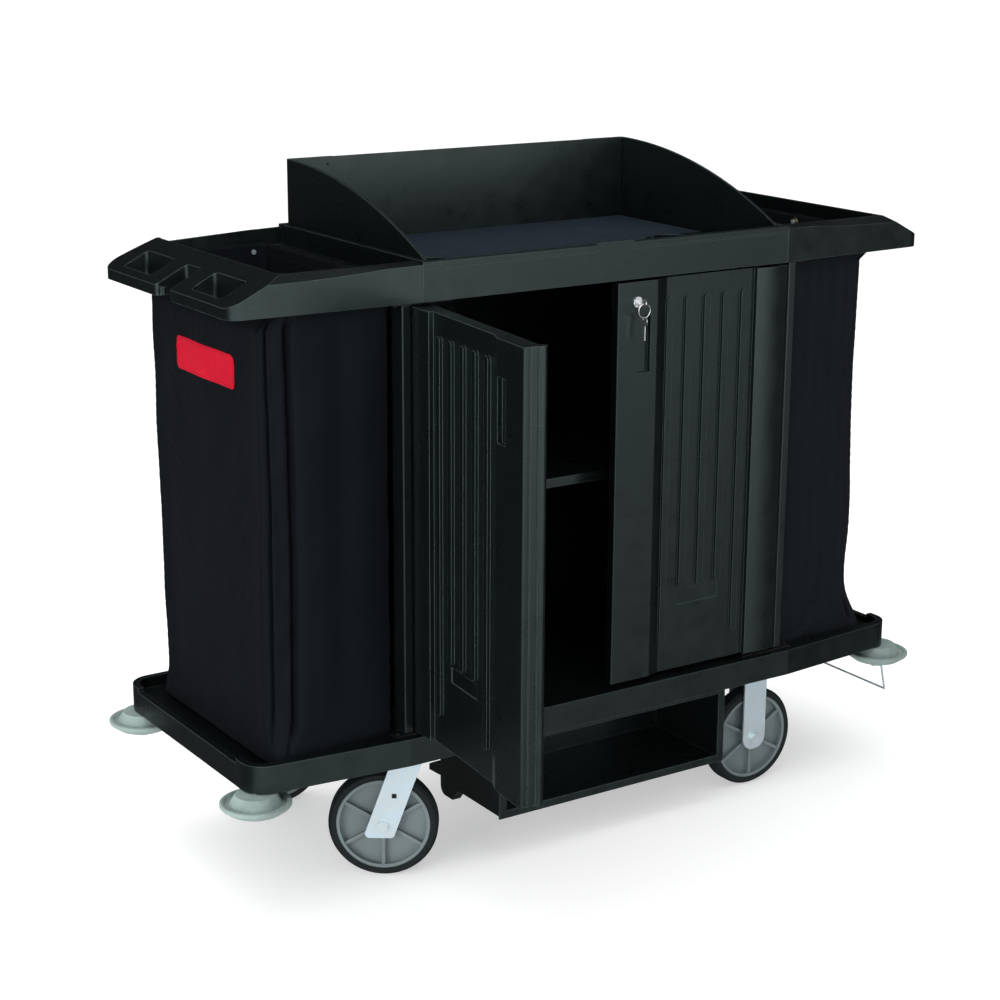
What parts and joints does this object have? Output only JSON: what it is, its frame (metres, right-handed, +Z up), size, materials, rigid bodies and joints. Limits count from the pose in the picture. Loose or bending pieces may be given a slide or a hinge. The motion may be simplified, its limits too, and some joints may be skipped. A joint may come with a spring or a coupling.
{
  "type": "housekeeping cart",
  "caption": "Long housekeeping cart: cabinet with swinging doors and a shelf, hooded tray on top, a fabric bag in a rim at each end, casters and corner bumper rollers.",
  "frame": {"origin": "on the floor under the middle of the whole cart's bounding box, with the left door open as at rest, which is 182.4 mm in front of the line midway between the casters", "axes": "+X along the length towards the rigid casters, -Y towards the doors, +Z up"},
  "size_m": [1.581, 0.9638, 1.27],
  "materials": {
    "dark_plastic": "grained structural foam",
    "clip_plastic": "moulded",
    "mat_rubber": "ribbed rubber",
    "bag_fabric": "coated woven nylon",
    "brass": "worn",
    "zinc_steel": "zinc plated",
    "black_steel": "black coated",
    "lock_chrome": "polished",
    "wheel_plastic": "moulded",
    "tyre": "grey rubber",
    "bumper_rubber": "pale soft rubber"
  },
  "bodies": {
    "cart": {"deck": "dark_plastic", "left_side_panel": "dark_plastic", "right_side_panel": "dark_plastic", "cabinet_back_panel": "dark_plastic", "middle_shelf": "dark_plastic", "top_tray": "dark_plastic", "left_end_rim": "dark_plastic", "right_end_rim": "dark_plastic", "hood_back": "dark_plastic", "hood_left_wing": "dark_plastic", "hood_right_wing": "dark_plastic", "tool_clips": "dark_plastic", "under_deck_bin": "dark_plastic", "shelf_clips": "clip_plastic", "tray_mat": "mat_rubber", "left_bag": "bag_fabric", "right_bag": "bag_fabric", "bag_grommets": "brass", "bag_hooks": "zinc_steel", "bin_screws": "zinc_steel", "caster_bolts": "zinc_steel", "bumper_bolts": "zinc_steel", "wire_hanger": "zinc_steel", "swivel_front_plate": "zinc_steel", "swivel_front_kingpin": "zinc_steel", "swivel_rear_plate": "zinc_steel", "swivel_rear_kingpin": "zinc_steel", "rigid_front_fork": "zinc_steel", "rigid_front_axle": "zinc_steel", "rigid_rear_fork": "zinc_steel", "rigid_rear_axle": "zinc_steel", "hood_screws": "black_steel", "hinge_brackets": "black_steel", "hinge_screws": "black_steel", "hinge_pins": "black_steel"},
    "left_door": {"left_door": "dark_plastic"},
    "right_door": {"right_door": "dark_plastic", "lock_housing": "lock_chrome"},
    "lock": {"lock_barrel": "lock_chrome", "lock_cam": "lock_chrome", "key": "lock_chrome"},
    "keys": {"key_ring": "lock_chrome"},
    "swivel_front": {"swivel_front_fork": "zinc_steel", "swivel_front_axle": "zinc_steel"},
    "swivel_front_roll": {"swivel_front_wheel": "wheel_plastic", "swivel_front_tyre": "tyre"},
    "swivel_rear": {"swivel_rear_fork": "zinc_steel", "swivel_rear_axle": "zinc_steel"},
    "swivel_rear_roll": {"swivel_rear_wheel": "wheel_plastic", "swivel_rear_tyre": "tyre"},
    "rigid_front_roll": {"rigid_front_wheel": "wheel_plastic", "rigid_front_tyre": "tyre"},
    "rigid_rear_roll": {"rigid_rear_wheel": "wheel_plastic", "rigid_rear_tyre": "tyre"},
    "left_front_roller": {"left_front_bumper": "bumper_rubber"},
    "left_rear_roller": {"left_rear_bumper": "bumper_rubber"},
    "right_front_roller": {"right_front_bumper": "bumper_rubber"},
    "right_rear_roller": {"right_rear_bumper": "bumper_rubber"}
  },
  "joints": [
    {"name": "left_door_swing", "type": "hinge", "parent": "cart", "child": "left_door", "pos_m": [-0.4035, -0.07412, 0.68], "axis": [0, 0, 1], "range_deg": [-4.3, 95.7]},
    {"name": "right_door_swing", "type": "hinge", "parent": "cart", "child": "right_door", "pos_m": [0.4035, -0.07412, 0.68], "axis": [0, 0, 1], "range_deg": [0, 100]},
    {"name": "lock_turn", "type": "hinge", "parent": "right_door", "child": "lock", "pos_m": [0.052, -0.08862, 1.036], "axis": [0, 1, 0], "range_deg": [0, 90]},
    {"name": "keys_swing", "type": "hinge", "parent": "lock", "child": "keys", "pos_m": [0.052, -0.11062, 1.036], "axis": [-1, 0, 0], "range_deg": [-8, 50]},
    {"name": "swivel_front_turn", "type": "hinge", "parent": "cart", "child": "swivel_front", "pos_m": [-0.399, -0.02962, 0.22], "axis": [0, 0, 1], "continuous": true},
    {"name": "swivel_front_spin", "type": "hinge", "parent": "swivel_front", "child": "swivel_front_roll", "pos_m": [-0.44021, -0.0013, 0.1016], "axis": [0.5664, 0.8241, 0], "continuous": true},
    {"name": "swivel_rear_turn", "type": "hinge", "parent": "cart", "child": "swivel_rear", "pos_m": [-0.399, 0.39438, 0.22], "axis": [0, 0, 1], "continuous": true},
    {"name": "swivel_rear_spin", "type": "hinge", "parent": "swivel_rear", "child": "swivel_rear_roll", "pos_m": [-0.449, 0.39438, 0.1016], "axis": [0, 1, 0], "continuous": true},
    {"name": "rigid_front_spin", "type": "hinge", "parent": "cart", "child": "rigid_front_roll", "pos_m": [0.399, -0.02962, 0.1016], "axis": [0, 1, 0], "continuous": true},
    {"name": "rigid_rear_spin", "type": "hinge", "parent": "cart", "child": "rigid_rear_roll", "pos_m": [0.399, 0.39438, 0.1016], "axis": [0, 1, 0], "continuous": true},
    {"name": "left_front_bumper_spin", "type": "hinge", "parent": "cart", "child": "left_front_roller", "pos_m": [-0.727, -0.05362, 0.21], "axis": [0, 0, 1], "continuous": true},
    {"name": "left_rear_bumper_spin", "type": "hinge", "parent": "cart", "child": "left_rear_roller", "pos_m": [-0.727, 0.41838, 0.21], "axis": [0, 0, 1], "continuous": true},
    {"name": "right_front_bumper_spin", "type": "hinge", "parent": "cart", "child": "right_front_roller", "pos_m": [0.727, -0.05362, 0.21], "axis": [0, 0, 1], "continuous": true},
    {"name": "right_rear_bumper_spin", "type": "hinge", "parent": "cart", "child": "right_rear_roller", "pos_m": [0.727, 0.41838, 0.21], "axis": [0, 0, 1], "continuous": true}
  ]
}
